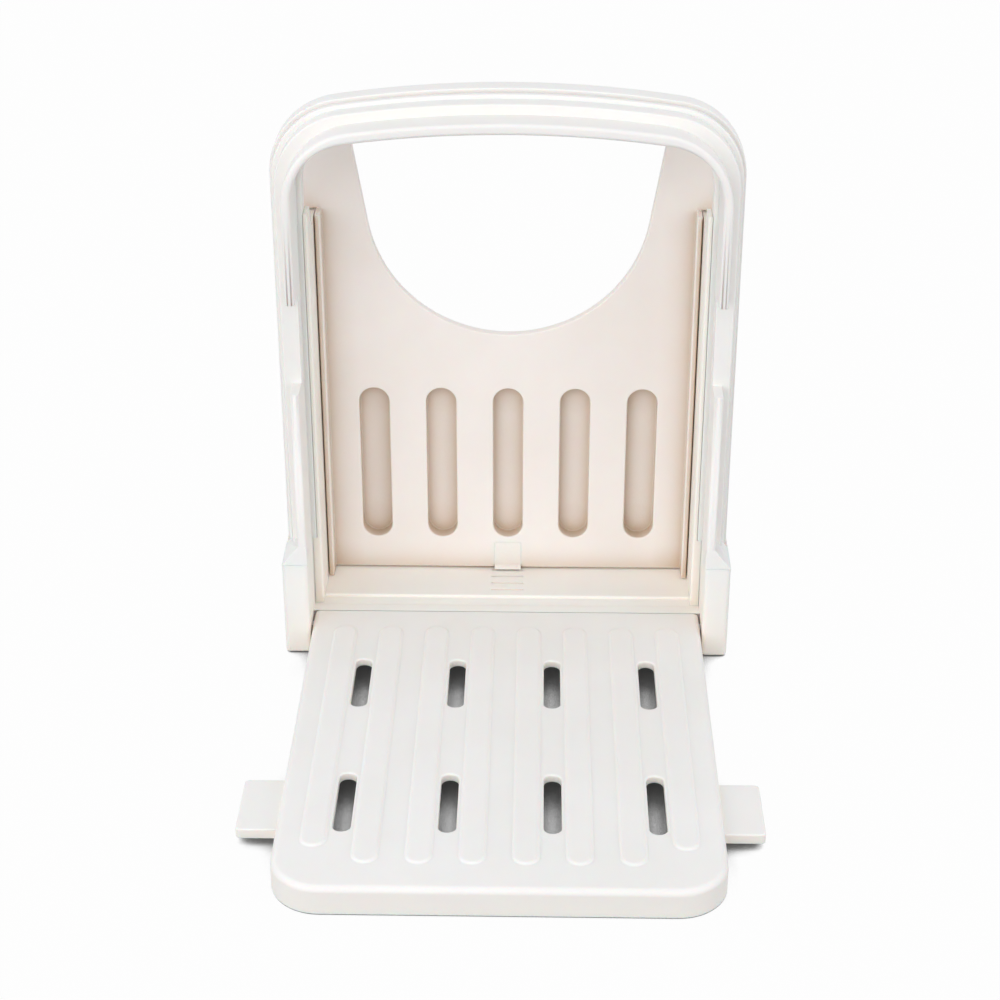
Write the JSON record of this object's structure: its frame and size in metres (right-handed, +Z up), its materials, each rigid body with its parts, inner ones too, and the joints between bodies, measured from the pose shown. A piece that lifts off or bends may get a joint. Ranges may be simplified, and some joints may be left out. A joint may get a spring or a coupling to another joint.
{
  "type": "bread slicer guide",
  "caption": "Folding bread slicing guide: slotted arch on a base, sliding stop plate with a U cut-out, and a ribbed crumb tray that folds up between the legs.",
  "frame": {"origin": "on the table, under the middle of the opened guide's outline", "axes": "+X across the guide, +Y from the tray to the stop plate, +Z up"},
  "size_m": [0.1558, 0.1962, 0.1912],
  "materials": {
    "frame_plastic": "satin moulded",
    "stop_plastic": "fine matt moulded",
    "tray_plastic": "satin moulded",
    "pad_rubber": "matt",
    "steel": "plain"
  },
  "bodies": {
    "frame": {"base_body": "frame_plastic", "base_screws": "steel", "base_pads": "pad_rubber", "front_arch": "frame_plastic", "front_knife_guide": "frame_plastic", "rear_frame": "frame_plastic", "arch_screws": "steel", "right_guide_rail": "frame_plastic", "left_guide_rail": "frame_plastic", "right_hinge_pin": "steel", "left_hinge_pin": "steel"},
    "stop": {"thickness_stop": "stop_plastic", "click_tongue": "stop_plastic"},
    "tray": {"bread_tray": "tray_plastic", "tray_pads": "pad_rubber"}
  },
  "joints": [
    {"name": "stop_slide", "type": "slide", "parent": "frame", "child": "stop", "axis": [0, -1, 0], "range_m": [0, 0.0135]},
    {"name": "tray_fold", "type": "hinge", "parent": "frame", "child": "tray", "pos_m": [0, 0.0491, 0.006], "axis": [-1, 0, 0], "range_deg": [0, 90]}
  ]
}
